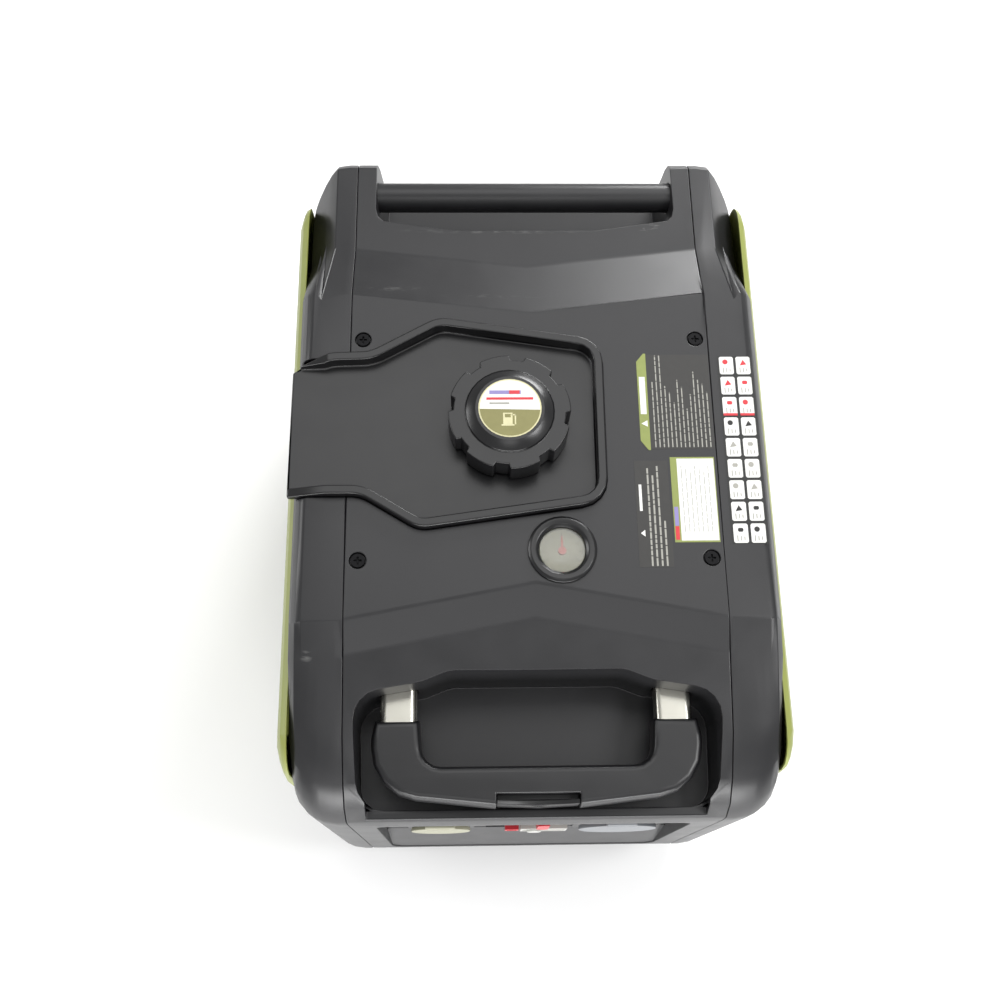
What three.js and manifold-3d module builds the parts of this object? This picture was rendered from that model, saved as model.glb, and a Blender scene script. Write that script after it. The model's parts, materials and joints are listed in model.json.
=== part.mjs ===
// A closed inverter generator of about 3.5 kW in a plastic case, on two rear wheels and two front feet.
// Millimetres, +Z up. The control panel faces -Y, the exhaust +Y. The origin is on the floor, in the middle.
import * as THREE from "three";
import { mergeVertices } from "three/addons/utils/BufferGeometryUtils.js";
import Module from "manifold-3d";

const wasm = await Module();
wasm.setup();

// ---- Driving dimensions ----
const BODY_LENGTH = 620; // control panel face to exhaust face
const BODY_HALF = 206; // middle to the flat side wall
const TOP = 485; // flat middle of the top cover
const GROUND_GAP = 38; // floor to the underside of the case
const WALL = 3.5; // moulded case wall
const GAP = 0.3; // between two pieces that touch
const SEAM = 160; // middle to the seam between the top cover and a side frame
const COVER_DEPTH = 97;
const COVER_BOTTOM = TOP - COVER_DEPTH; // where the top cover ends and the end covers begin
const CORNER_RADIUS = 38; // vertical corners of the case, seen from above
const SIDE_PANEL_DEPTH = 18.7; // how far a coloured side panel stands out from the side wall

const FRONT = -BODY_LENGTH / 2;
const REAR = BODY_LENGTH / 2;
const MIDDLE_SHIFT = (REAR + FRONT) / 2;

// ---- Shapes ----
const X = new THREE.Vector3(1, 0, 0);
const Y = new THREE.Vector3(0, 1, 0);
const Z = new THREE.Vector3(0, 0, 1);

// Any closed geometry as a solid with its faces pointing out.
function solid(geometry) {
  const bare = new THREE.BufferGeometry();
  bare.setAttribute("position", geometry.getAttribute("position"));
  bare.setIndex(geometry.index);
  const merged = mergeVertices(bare, 1e-3);
  const kept = [];
  for (let i = 0; i < merged.index.count; i += 3) {
    const [a, b, c] = merged.index.array.slice(i, i + 3);
    if (a !== b && b !== c && c !== a) kept.push(a, b, c);
  }
  const vertProperties = new Float32Array(merged.attributes.position.array);
  const build = (triVerts) =>
    new wasm.Manifold(new wasm.Mesh({ numProp: 3, vertProperties, triVerts }));
  const made = build(new Uint32Array(kept));
  return made.volume() > 0 ? made : build(new Uint32Array(kept).reverse());
}

const joined = (first, ...rest) => rest.reduce((sum, s) => sum.add(s), first);
const cut = (first, ...rest) => rest.reduce((left, s) => left.subtract(s), first);

function box(x0, x1, y0, y1, z0, z1) {
  const geometry = new THREE.BoxGeometry(x1 - x0, y1 - y0, z1 - z0);
  return solid(geometry.translate((x0 + x1) / 2, (y0 + y1) / 2, (z0 + z1) / 2));
}

// A round bar along an axis, from one end to the other; a and b are its two other coordinates.
function rod(axis, radius, from, to, a, b, sides = 24) {
  const geometry = new THREE.CylinderGeometry(radius, radius, to - from, sides);
  const middle = (from + to) / 2;
  if (axis === "x") geometry.rotateZ(Math.PI / 2).translate(middle, a, b);
  if (axis === "y") geometry.translate(a, middle, b);
  if (axis === "z") geometry.rotateX(Math.PI / 2).translate(a, b, middle);
  return solid(geometry);
}

// A ring or turned piece round +Z, from [radius, height] points.
function turned(points, sides = 32) {
  return solid(new THREE.LatheGeometry(flat(points), sides).rotateX(Math.PI / 2));
}

// Corners [x, y, radius] counterclockwise as a rounded outline; grow moves every edge outwards.
function outline(corners, grow = 0, steps = 4) {
  const moved = offset(corners, grow);
  const points = [];
  moved.forEach((corner, i) => {
    const before = moved[(i + moved.length - 1) % moved.length];
    const after = moved[(i + 1) % moved.length];
    const here = new THREE.Vector2(corner[0], corner[1]);
    const toBefore = new THREE.Vector2(before[0], before[1]).sub(here).normalize();
    const toAfter = new THREE.Vector2(after[0], after[1]).sub(here).normalize();
    const convex = toAfter.cross(toBefore) > 0;
    const radius = (corners[i][2] || 0) + (convex ? grow : -grow);
    if (!corners[i][2] || radius <= 0) {
      points.push(here);
      return;
    }
    const halfAngle = Math.acos(THREE.MathUtils.clamp(toBefore.dot(toAfter), -1, 1)) / 2;
    const reach = radius / Math.tan(halfAngle);
    const start = here.clone().addScaledVector(toBefore, reach);
    const end = here.clone().addScaledVector(toAfter, reach);
    const bisector = toBefore.clone().add(toAfter).normalize();
    const centre = here.clone().addScaledVector(bisector, radius / Math.sin(halfAngle));
    const from = Math.atan2(start.y - centre.y, start.x - centre.x);
    let turn = Math.atan2(end.y - centre.y, end.x - centre.x) - from;
    if (turn > Math.PI) turn -= 2 * Math.PI;
    if (turn < -Math.PI) turn += 2 * Math.PI;
    for (let k = 0; k <= steps; k++) {
      const angle = from + (turn * k) / steps;
      const arm = new THREE.Vector2(Math.cos(angle), Math.sin(angle));
      points.push(centre.clone().addScaledVector(arm, radius));
    }
  });
  return points;
}

// A counterclockwise polygon with every edge moved outwards by grow.
function offset(corners, grow) {
  return corners.map((corner, i) => {
    const before = corners[(i + corners.length - 1) % corners.length];
    const after = corners[(i + 1) % corners.length];
    const into = new THREE.Vector2(corner[0] - before[0], corner[1] - before[1]).normalize();
    const out = new THREE.Vector2(after[0] - corner[0], after[1] - corner[1]).normalize();
    const share = grow / (1 + into.dot(out));
    return [corner[0] + share * (into.y + out.y), corner[1] - share * (into.x + out.x)];
  });
}

const flat = (pairs) => pairs.map(([a, b]) => new THREE.Vector2(a, b));

const rectangle = (cx, cy, width, height, radius = 0) => [
  [cx - width / 2, cy - height / 2, radius],
  [cx + width / 2, cy - height / 2, radius],
  [cx + width / 2, cy + height / 2, radius],
  [cx - width / 2, cy + height / 2, radius],
];

// An outline pushed along an axis: its points are (x, y) along z, (x, z) along y and (y, z) along x.
function slab(axis, points, from, to) {
  const depth = to - from;
  const geometry = new THREE.ExtrudeGeometry(new THREE.Shape(points), { depth, bevelEnabled: false });
  if (axis === "x") {
    geometry.applyMatrix4(new THREE.Matrix4().makeBasis(Y, Z, X)).translate(from, 0, 0);
  } else if (axis === "y") {
    const turnedOver = new THREE.Matrix4().makeBasis(X, Z, Y.clone().negate());
    geometry.applyMatrix4(turnedOver).translate(0, to, 0);
  } else {
    geometry.translate(0, 0, from);
  }
  return solid(geometry);
}

// A closed skin through rings of equally many points. flatten gives a ring point's place in its end face.
function loft(rings, flatten) {
  const count = rings[0].length;
  const triangles = [];
  for (let i = 0; i + 1 < rings.length; i++) {
    for (let j = 0; j < count; j++) {
      const next = (j + 1) % count;
      const [a, b, c, d] = [i * count + j, i * count + next, (i + 1) * count + next, (i + 1) * count + j];
      const [pa, pb, pc, pd] = [rings[i][j], rings[i][next], rings[i + 1][next], rings[i + 1][j]];
      if (pa.distanceTo(pc) <= pb.distanceTo(pd)) triangles.push(a, b, c, a, c, d);
      else triangles.push(a, b, d, b, c, d);
    }
  }
  for (const end of [0, rings.length - 1]) {
    const flat = rings[end].map(flatten);
    const faces = THREE.ShapeUtils.triangulateShape(flat, []);
    const area = (f) => THREE.ShapeUtils.area(f.map((k) => flat[k]));
    const filled = faces.reduce((sum, f) => sum + area(f), 0);
    const sameWay = filled > 0 === THREE.ShapeUtils.area(flat) > 0;
    const reversed = sameWay === (end === 0);
    faces.forEach((f) => triangles.push(...(reversed ? [...f].reverse() : f).map((k) => end * count + k)));
  }
  const geometry = new THREE.BufferGeometry();
  const numbers = rings.flat().flatMap((p) => [p.x, p.y, p.z]);
  geometry.setAttribute("position", new THREE.BufferAttribute(new Float32Array(numbers), 3));
  geometry.setIndex(triangles);
  return solid(geometry);
}

// A slab along z whose top and bottom edges are rounded over.
function bevelled(corners, round, from, to) {
  const level = (grow, z) => outline(corners, grow).map((p) => new THREE.Vector3(p.x, p.y, z));
  const rings = [
    level(-round, from), level(-round * 0.3, from + round * 0.3), level(0, from + round),
    level(0, to - round), level(-round * 0.3, to - round * 0.3), level(-round, to),
  ];
  return loft(rings, (p) => new THREE.Vector2(p.x, p.y));
}

// ---- Materials ----
const finish = (color, roughness, metalness) =>
  new THREE.MeshStandardMaterial({ color, roughness, metalness });
const casePlastic = finish("#3a3b3d", 0.6, 0);
const darkPlastic = finish("#232425", 0.55, 0);
const greenPlastic = finish("#a9b85c", 0.5, 0);
const rubber = finish("#1b1b1c", 0.85, 0);
const chrome = finish("#d9dad8", 0.18, 1);
const steel = finish("#8b8e90", 0.4, 1);
const castAluminium = finish("#a6a8a9", 0.55, 1);
const tankPlastic = finish("#c9c5b4", 0.5, 0);
const copper = finish("#a8653a", 0.45, 1);
const clearPlastic = finish("#dfe5e2", 0.1, 0);
const red = finish("#c4242c", 0.5, 0);

// ---- The tree of pieces ----
const generator = new THREE.Group();

function piece(name, shape, material, parent = generator) {
  const skin = shape.simplify(0.03).getMesh();
  const geometry = new THREE.BufferGeometry();
  geometry.setAttribute("position", new THREE.BufferAttribute(new Float32Array(skin.vertProperties), 3));
  geometry.setIndex(new THREE.BufferAttribute(new Uint32Array(skin.triVerts), 1));
  geometry.computeVertexNormals();
  const mesh = new THREE.Mesh(geometry, material);
  mesh.name = name;
  parent.add(mesh);
  return mesh;
}

function groupAt(x, y, z, parent = generator) {
  const group = new THREE.Group();
  group.position.set(x, y, z);
  parent.add(group);
  return group;
}

// ---- Case: one outer form, cut at the seams into the covers and frames ----
const SHELF_DROP = 19;
const SHELF = TOP - SHELF_DROP; // top cover behind the rear crease
const REAR_CREASE_TOP = REAR - 160;
const REAR_CREASE_FOOT = REAR - 102;
const FRONT_CREASE_TOP = FRONT + 155;
const FRONT_CREASE_FOOT = FRONT + 127;
const REAR_CREASE_DIP = 20; // how far the rear creases run forwards at the middle
const FRONT_CREASE_DIP = 32; // how far the front creases run backwards at the middle
const CHAMFER_START = 25; // the rear side chamfer, measured in from the side wall
const CHAMFER_SLOPE = 1.5;
const SILL_RISE = 70; // how high the front face starts to lean back under the control panel

// How far the case's end wall is drawn in at x, which rounds its vertical corners.
function cornerPull(x, inset) {
  const radius = CORNER_RADIUS - inset;
  const into = Math.max(0, x - (BODY_HALF - CORNER_RADIUS));
  return radius - Math.sqrt(Math.max(0, radius ** 2 - into ** 2));
}

// The case's side view [y, z] at a distance x from the middle plane, drawn in by inset all round.
function sideView(x, inset) {
  const pull = cornerPull(x, inset);
  const front = FRONT + pull;
  const rear = REAR - pull;
  const nearMiddle = 1 - Math.min(1, x / SEAM);
  const toRear = REAR_CREASE_DIP * nearMiddle;
  const toFront = FRONT_CREASE_DIP * nearMiddle;
  const edge = Math.max(0, x - (BODY_HALF - 8)) * 1.6;
  const chamfer = Math.max(0, x - (BODY_HALF - CHAMFER_START)) * CHAMFER_SLOPE;
  const flare = Math.max(0, x - (BODY_HALF - 6)) * 1.2;
  const points = [
    [front + 24, GROUND_GAP],
    [rear - 12, GROUND_GAP],
    [rear, GROUND_GAP + 30],
    [rear, SHELF - 20 - chamfer],
    [rear - 3, SHELF - 9 - chamfer],
    [rear - 11, SHELF - 2 - chamfer],
    [REAR_CREASE_FOOT - toRear, SHELF - chamfer],
    [REAR_CREASE_TOP - toRear, TOP - edge],
    [FRONT_CREASE_TOP + toFront, TOP - edge],
    [FRONT_CREASE_FOOT + toFront, TOP - 10 - flare],
    [front + 65, TOP - 22 - flare],
    [front + 28, TOP - 39 - flare],
    [front + 10, TOP - 56 - flare],
    [front + 1, TOP - 77 - flare],
    [front, TOP - 93 - flare],
    [front, GROUND_GAP + SILL_RISE],
  ];
  return offset(points, -inset);
}

function caseForm(inset) {
  const half = BODY_HALF - inset;
  const flat = BODY_HALF - CORNER_RADIUS;
  const outer = [0, 0.3, 0.5, 0.68, 0.84, 0.94, 1].map((share) => flat + share * (half - flat));
  const stations = [...outer.map((x) => -x).reverse(), 0, ...outer];
  const rings = stations.map((x) => sideView(Math.abs(x), inset).map(([y, z]) => new THREE.Vector3(x, y, z)));
  return loft(rings, (p) => new THREE.Vector2(p.y, p.z));
}

const caseOuter = caseForm(0);
const caseShell = caseOuter.subtract(caseForm(WALL));
const FAR = 400; // past the case on every side
const middleBand = box(-SEAM + GAP / 2, SEAM - GAP / 2, -FAR, FAR, COVER_BOTTOM + GAP, FAR + TOP);

// The pocket in the front of the top that the trolley handle lies in.
const WELL_HALF = 151;
const WELL_FRONT = FRONT + 10;
const WELL_REAR = FRONT + 98;
const WELL_DEPTH = 89;
const WELL_FLOOR = TOP - WELL_DEPTH;
const RAIL_HEIGHT = 16;
const RAIL_TOP = WELL_FLOOR + RAIL_HEIGHT; // the bar of the cover in front of the handle
const LINER = 3; // wall of the pockets moulded into the top cover
const wellCorners = [
  [-WELL_HALF + 2, WELL_FRONT, 20],
  [WELL_HALF - 2, WELL_FRONT, 20],
  [WELL_HALF + 1, WELL_REAR, 24],
  [WELL_HALF * 0.63, WELL_REAR + 9, 30],
  [WELL_HALF * 0.48, WELL_REAR + 18, 30],
  [-WELL_HALF * 0.48, WELL_REAR + 18, 30],
  [-WELL_HALF * 0.63, WELL_REAR + 9, 30],
  [-WELL_HALF - 1, WELL_REAR, 24],
];

// The trolley handle's two chromed tubes.
const TUBE_X = 116;
const TUBE_Z = RAIL_TOP + 19;
const TUBE_WIDTH = 31;
const TUBE_HEIGHT = 20;
const TUBE_WALL = 1.5;
const TUBE_PLAY = 0.5;
const GUIDE_WALL = 2;

// The hollow behind the rear carrying bar.
const BAR_RADIUS = 14;
const BAR_Y = REAR - 33;
const BAR_Z = SHELF - 20;
const SCOOP_FLOOR = COVER_BOTTOM + 4;
const SCOOP_HALF = 142;
const SCOOP_LIP = REAR - 82; // front edge of the hollow in the middle, at the height of the shelf

function scoop(grow) {
  const level = (z, half, lip) => {
    const corners = [
      [half, FAR], [-half, FAR], [-half, lip + 24], [-half + 2, lip + 16], [-half + 7, lip + 11],
      [-half * 0.47, lip], [half * 0.47, lip], [half - 7, lip + 11], [half - 2, lip + 16], [half, lip + 24],
    ];
    return offset(corners, grow).map(([x, y]) => new THREE.Vector3(x, y, z));
  };
  const rings = [
    level(SCOOP_FLOOR - grow, SCOOP_HALF - 7, SCOOP_LIP + 16),
    level(SHELF, SCOOP_HALF, SCOOP_LIP),
    level(TOP + 20, SCOOP_HALF, SCOOP_LIP),
  ];
  return loft(rings, (p) => new THREE.Vector2(p.x, p.y));
}

// The tray round the filler, which drains spilt fuel over the left side.
const TRAY_RIM_TOP = TOP + 8;
const TRAY_FLOOR = TOP - 5;
const TRAY_PLATE = 3;
const RIM_WIDTH = 8;
const trayCorners = [
  [-BODY_HALF - 5, -46],
  [-148, -46, 30],
  [-98, -77, 25],
  [63, -54, 25],
  [64, 99, 25],
  [-82, 122, 30],
  [-142, 88, 30],
  [-178, 87, 40],
  [-BODY_HALF - 5, 73],
];
const CAP_X = -20;
const CAP_Y = 23;

const GAUGE_X = 23;
const GAUGE_Y = -95;
const GAUGE_HOLE = 24.6;
const SCREW_X = 149;
const SCREW_Y = 103;
const SCREW_HEAD = 6;
const SCREW_SINK = 3.6; // depth of the round recess round each cover screw

// The tray's outline grown or shrunk, and run on over the left side.
function trayOutline(grow) {
  const runOn = (p) => (p.x < -BODY_HALF + 10 ? new THREE.Vector2(-FAR, p.y) : p);
  return outline(trayCorners, grow).map(runOn);
}

const trayOpening = () => slab("z", trayOutline(GAP + 0.2), TRAY_FLOOR - TRAY_PLATE - GAP, FAR + TOP);

function topCover() {
  const well = slab("z", outline(wellCorners), WELL_FLOOR, FAR + TOP);
  const wellLiner = slab("z", outline(wellCorners, LINER), WELL_FLOOR - LINER, FAR + TOP);
  const rail = box(-SEAM + 2, SEAM - 2, FRONT - 5, WELL_FRONT, WELL_FLOOR - LINER, TOP);
  const handleGate = slab("z", outline(rectangle(0, FRONT, 286, 50, 8)), RAIL_TOP, FAR + TOP);
  let cover = caseShell.intersect(middleBand);
  cover = joined(cover, joined(wellLiner, rail, scoop(LINER)).intersect(caseOuter).intersect(middleBand));
  for (const x of [-SCREW_X, SCREW_X]) {
    for (const y of [-SCREW_Y, SCREW_Y]) {
      cover = cover.add(rod("z", SCREW_HEAD + 4, TOP - 14, TOP - 1, x, y, 12));
      cover = cut(cover, rod("z", SCREW_HEAD + 1.2, TOP - SCREW_SINK, TOP + 5, x, y, 20));
      cover = cut(cover, rod("z", 3.3, TOP - 20, TOP, x, y, 10));
    }
  }
  for (const side of [-1, 1]) {
    const sleeve = rectangle(side * TUBE_X, TUBE_Z, TUBE_WIDTH, TUBE_HEIGHT, 6);
    cover = cut(cover, slab("y", outline(sleeve, TUBE_PLAY), WELL_REAR - 30, WELL_REAR + 25));
    cover = cut(cover, rod("x", BAR_RADIUS + GAP, 0, side * (SEAM - 3), BAR_Y, BAR_Z, 32));
  }
  const gaugeOpening = rod("z", GAUGE_HOLE, TOP - 20, TOP + 5, GAUGE_X, GAUGE_Y, 40);
  return cut(cover, well, handleGate, scoop(0), trayOpening(), gaugeOpening);
}

// Wheels stand in arches in the rear corners.
const WHEEL_RADIUS = 56;
const WHEEL_WIDTH = 32;
const WHEEL_X = 183;
const WHEEL_Y = REAR - 105;
const ARCH_CLEARANCE = 6;

// The service hatch in the left side, over the spark plug and the oil filler.
const DOOR_FRONT = -10;
const DOOR_REAR = 150;
const DOOR_BOTTOM = 165;
const DOOR_TOP = 335;
const DOOR_GAP = 0.9;
const DOOR_MIDDLE = (DOOR_BOTTOM + DOOR_TOP) / 2;
const hatch = (grow) => [
  [DOOR_FRONT - grow / 2, DOOR_BOTTOM - grow / 2, 2], [DOOR_REAR + grow / 2, DOOR_BOTTOM - grow / 2, 12],
  [DOOR_REAR + grow / 2, DOOR_TOP + grow / 2, 12], [DOOR_FRONT - grow / 2, DOOR_TOP + grow / 2, 2],
];
const RECOIL_Y = -130;
const RECOIL_Z = 195;
const ROPE_RADIUS = 2.5;

function sideFrame(side) {
  const along = (from, to) => (side > 0 ? [from, to] : [-to, -from]);
  const half = box(...along(SEAM + GAP / 2, FAR), -FAR, FAR, 0, FAR + TOP);
  const arch = rod("x", WHEEL_RADIUS + ARCH_CLEARANCE, ...along(SEAM + 1, FAR), WHEEL_Y, WHEEL_RADIUS, 36);
  const opening = side > 0
    ? rod("x", ROPE_RADIUS + 1.5, SEAM + 20, FAR, RECOIL_Y, RECOIL_Z, 12)
    : slab("x", outline(hatch(6)), -FAR, -SEAM - 20);
  return cut(caseShell.intersect(half), arch, trayOpening(), opening);
}

function frontFrame() {
  const band = box(-SEAM + GAP / 2, SEAM - GAP / 2, -FAR, FRONT + 60, GROUND_GAP + 14, COVER_BOTTOM - GAP);
  const window = rectangle(0, PANEL_Z, PANEL_WIDTH, PANEL_HEIGHT, 14);
  let frame = caseShell.intersect(band);
  const liner = slab("y", outline(window, LINER), FRONT + 1, PANEL_Y - GAP);
  frame = joined(frame, liner).subtract(slab("y", outline(window), FRONT - 5, PANEL_Y + 5));
  const chinFoot = PANEL_Z - PANEL_HEIGHT / 2;
  const chinRear = PANEL_Y - GAP;
  const chin = [
    [FRONT + 1, chinFoot - 2], [chinRear, chinFoot - 2], [chinRear, CHIN_TOP], [FRONT + 1, chinFoot + 2],
  ];
  frame = frame.add(slab("x", flat(chin), -PANEL_WIDTH / 2 - 1, PANEL_WIDTH / 2 + 1));
  for (let row = 0; row < 4; row++) {
    const slot = rectangle(0, GROUND_GAP + 32 + row * 12, 220, 5, 2.4);
    frame = cut(frame, slab("y", outline(slot, 0, 1), FRONT - 5, FRONT + 30));
  }
  return frame;
}

const EXHAUST_X = 70;
const EXHAUST_Z = 150;
const EXHAUST_RADIUS = 20;

function rearCover() {
  const band = box(-SEAM + GAP / 2, SEAM - GAP / 2, REAR - 60, FAR, GROUND_GAP + 14, COVER_BOTTOM - GAP);
  let cover = caseShell.intersect(band);
  for (let row = 0; row < 9; row++) {
    const slot = rectangle(0, 225 + row * 15, 230, 6, 2.9);
    cover = cut(cover, slab("y", outline(slot, 0, 1), REAR - 10, REAR + 5));
  }
  return cut(cover, rod("y", EXHAUST_RADIUS + 3, REAR - 10, REAR + 5, EXHAUST_X, EXHAUST_Z, 32));
}

const AXLE_RADIUS = 8;
const PAN_WALL_TOP = 95;

function basePan() {
  const band = box(-SEAM + GAP / 2, SEAM - GAP / 2, -FAR, FAR, 0, GROUND_GAP + 14 - GAP);
  let pan = caseShell.intersect(band);
  for (const side of [-1, 1]) {
    const wall = side * (SEAM - GAP / 2 - WALL / 2);
    pan = pan.add(box(wall - WALL / 2, wall + WALL / 2, FRONT + 25, REAR - 25, GROUND_GAP + 1, PAN_WALL_TOP));
  }
  return cut(pan, rod("x", AXLE_RADIUS + GAP, -FAR, FAR, WHEEL_Y, WHEEL_RADIUS));
}

// Control panel plate and the window of the front frame that it closes.
const PANEL_WIDTH = 276;
const PANEL_HEIGHT = 252;
const PANEL_Z = 246;
const PANEL_Y = FRONT + 12; // front face of the plate
const PANEL_PLATE = 3.5;
const CHIN_TOP = 214; // top of the slope under the plate
const SOCKET_X = 84;
const SOCKET_Z = 268;
const SOCKET_HOLE = 20;
const SWITCH_X = 10;
const SWITCH_Z = 325;
const LOW_ROW_Z = 240;

piece("top_cover", topCover(), casePlastic);
piece("left_side_frame", sideFrame(-1), casePlastic);
piece("right_side_frame", sideFrame(1), casePlastic);
piece("front_frame", frontFrame(), casePlastic);
piece("rear_cover", rearCover(), casePlastic);
piece("base_pan", basePan(), casePlastic);

// ---- Coloured side panels: shallow lids that bulge out over the side walls ----
const SIDE_PANEL_FRONT = FRONT + 38;
const SIDE_PANEL_REAR = REAR - 37;
const SIDE_PANEL_BOTTOM = 126;
const SIDE_PANEL_TOP = TOP - 29;
const SIDE_PANEL_WALL = 2.5;
const WAIST = 0.8; // how much of its depth a panel keeps below the ridge along its upper edge

function sidePanelForm(inset) {
  const round = 30 - inset;
  const from = SIDE_PANEL_FRONT + inset;
  const to = SIDE_PANEL_REAR - inset;
  const ends = [0, 0.1, 0.3, 0.6, 1].map((share) => share * round);
  const stations = [...ends.map((d) => from + d), ...ends.map((d) => to - d).reverse()];
  const rings = stations.map((y) => {
    const near = Math.min(round, y - from, to - y);
    const tuck = round - Math.sqrt(round ** 2 - (round - near) ** 2);
    const low = SIDE_PANEL_BOTTOM + inset + tuck;
    const high = SIDE_PANEL_TOP - inset - tuck;
    const depth = (SIDE_PANEL_DEPTH - inset) * (0.35 + 0.65 * Math.sqrt(near / round));
    const start = BODY_HALF + GAP - (inset ? 2 : 0);
    const foot = [[0, 0], [0.4, 1], [0.68, 6], [WAIST, 16]];
    const shoulder = [[0, 0], [0.3, 4], [0.5, 14], [0.78, 50], [0.96, 70], [1, 78], [WAIST, 98]];
    const lower = foot.map(([share, rise]) => [start + share * depth, low + rise]);
    const upper = shoulder.map(([share, drop]) => [start + share * depth, high - drop]).reverse();
    return [...lower, ...upper].map(([x, z]) => new THREE.Vector3(x, y, z));
  });
  return loft(rings, (p) => new THREE.Vector2(p.x, p.z));
}

const DOOR_FACE = BODY_HALF + GAP + SIDE_PANEL_DEPTH * WAIST;
const DOOR_PLATE = 2.6;
const RECOIL_WINDOW = rectangle(RECOIL_Y, RECOIL_Z, 56, 104, 14);

function sidePanel(side) {
  let panel = sidePanelForm(0).subtract(sidePanelForm(SIDE_PANEL_WALL));
  for (let row = 0; row < 7; row++) {
    const slot = rectangle(205, 180 + row * 22, 62, 7, 3.4);
    panel = cut(panel, slab("x", outline(slot, 0, 1), BODY_HALF + 3, FAR));
  }
  for (let row = 0; row < 4; row++) {
    const slot = rectangle(side > 0 ? RECOIL_Y - 20 : -180, 320 + row * 22, 100, 7, 3.4);
    panel = cut(panel, slab("x", outline(slot, 0, 1), BODY_HALF + 3, FAR));
  }
  const opening = side > 0 ? RECOIL_WINDOW : hatch(0);
  panel = cut(panel, slab("x", outline(opening), BODY_HALF + 3, FAR));
  return side > 0 ? panel : panel.mirror([1, 0, 0]);
}

const LATCH_Y = DOOR_REAR - 18;
const LATCH_STEM = 5;

function serviceDoor() {
  const plate = slab("x", outline(hatch(0), -DOOR_GAP), -DOOR_FACE, -DOOR_FACE + DOOR_PLATE);
  return cut(plate, rod("x", LATCH_STEM + GAP, -FAR, 0, LATCH_Y, DOOR_MIDDLE, 20));
}

function doorLatch() {
  const knob = rod("x", 13, -DOOR_FACE - 3.5, -DOOR_FACE - GAP, LATCH_Y, DOOR_MIDDLE, 28);
  const stem = rod("x", LATCH_STEM, -DOOR_FACE - 1, -DOOR_FACE + DOOR_PLATE + 3, LATCH_Y, DOOR_MIDDLE, 20);
  const inside = -DOOR_FACE + DOOR_PLATE;
  const washer = rod("x", 9, inside + 1, inside + 3, LATCH_Y, DOOR_MIDDLE, 20);
  const slotSide = outline(rectangle(LATCH_Y, DOOR_MIDDLE, 18, 3));
  const coinSlot = slab("x", slotSide, -DOOR_FACE - 5, -DOOR_FACE - 2);
  return cut(joined(knob, stem, washer), coinSlot);
}

piece("left_side_panel", sidePanel(-1), greenPlastic);
piece("right_side_panel", sidePanel(1), greenPlastic);
piece("service_door", serviceDoor(), greenPlastic);
piece("door_latch", doorLatch(), darkPlastic);

// ---- Top: tray, screws, carrying bar, fuel gauge ----
const NECK_BORE = 24;
const NECK_RADIUS = 31.5;
const NECK_TOP = TOP + 10.4;
const TANK_TOP = TOP - 15;

function fuelTray() {
  const bottom = TRAY_FLOOR - TRAY_PLATE;
  // The rims run down to the floor of the tray where it spills over the side.
  const rimEnd = [
    [-BODY_HALF + 28, TRAY_RIM_TOP], [-BODY_HALF - 6, TRAY_FLOOR + 3.5], [-FAR, TRAY_FLOOR],
    [-FAR, TRAY_RIM_TOP + 50], [-BODY_HALF + 28, TRAY_RIM_TOP + 50],
  ];
  return cut(
    slab("z", outline(trayCorners), bottom, TRAY_RIM_TOP),
    slab("z", trayOutline(-RIM_WIDTH), TRAY_FLOOR, TRAY_RIM_TOP + 5),
    slab("y", flat(rimEnd), -FAR, FAR),
    rod("z", NECK_RADIUS + 2.5, bottom - 5, TRAY_RIM_TOP, CAP_X, CAP_Y, 40),
  );
}

piece("fuel_tray", fuelTray(), casePlastic);

function coverScrew() {
  const head = turned([[0, 0.4], [SCREW_HEAD, 0.4], [SCREW_HEAD, 2], [SCREW_HEAD - 1.5, 3.2], [0, 3.2]], 16);
  const hexagon = new THREE.CylinderGeometry(2.3, 2.3, 4, 6).rotateX(Math.PI / 2).translate(0, 0, 3.6);
  return cut(joined(head, rod("z", 2.8, -14, 1, 0, 0, 12)), solid(hexagon));
}

const screwPlaces = [[-1, -1], [1, -1], [1, 1], [-1, 1]];
screwPlaces.forEach(([sx, sy], i) => {
  const place = groupAt(sx * SCREW_X, sy * SCREW_Y, TOP - SCREW_SINK);
  piece("cover_screw_" + (i + 1), coverScrew(), steel, place);
});

const BAR_HALF = SEAM - 10;
piece("rear_carry_bar", rod("x", BAR_RADIUS, -BAR_HALF, BAR_HALF, BAR_Y, BAR_Z, 28), darkPlastic);

const gauge = groupAt(GAUGE_X, GAUGE_Y, TOP);
const BEZEL_RADIUS = 29.3;
const LENS_RADIUS = 19.5;
const bezelProfile = [
  [LENS_RADIUS + GAP, -11], [GAUGE_HOLE - GAP, -11], [GAUGE_HOLE - GAP, GAP], [BEZEL_RADIUS, GAP],
  [BEZEL_RADIUS, 2.2], [BEZEL_RADIUS - 2.5, 4], [LENS_RADIUS + 3, 3.4], [LENS_RADIUS + GAP, 1],
  [LENS_RADIUS + GAP, -11],
];
piece("gauge_bezel", turned(bezelProfile, 28), darkPlastic, gauge);
const lensProfile = [[0, -2], [LENS_RADIUS, -2], [LENS_RADIUS, -0.4], [LENS_RADIUS * 0.6, 0.5], [0, 0.9]];
piece("gauge_lens", turned(lensProfile, 28), clearPlastic, gauge);

// A small pointer under the lens, geared to the float arm in the tank.
const POINTER_LENGTH = 13;
const pointerHub = rod("z", 3.5, -5.5, -3.2, 0, 0, 16);
const bladeOutline = flat([[-1.2, 0], [1.2, 0], [0.5, POINTER_LENGTH], [-0.5, POINTER_LENGTH]]);
const pointerBlade = slab("z", bladeOutline, -5, -4);
piece("gauge_pointer", joined(pointerHub, pointerBlade), red, gauge);

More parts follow.
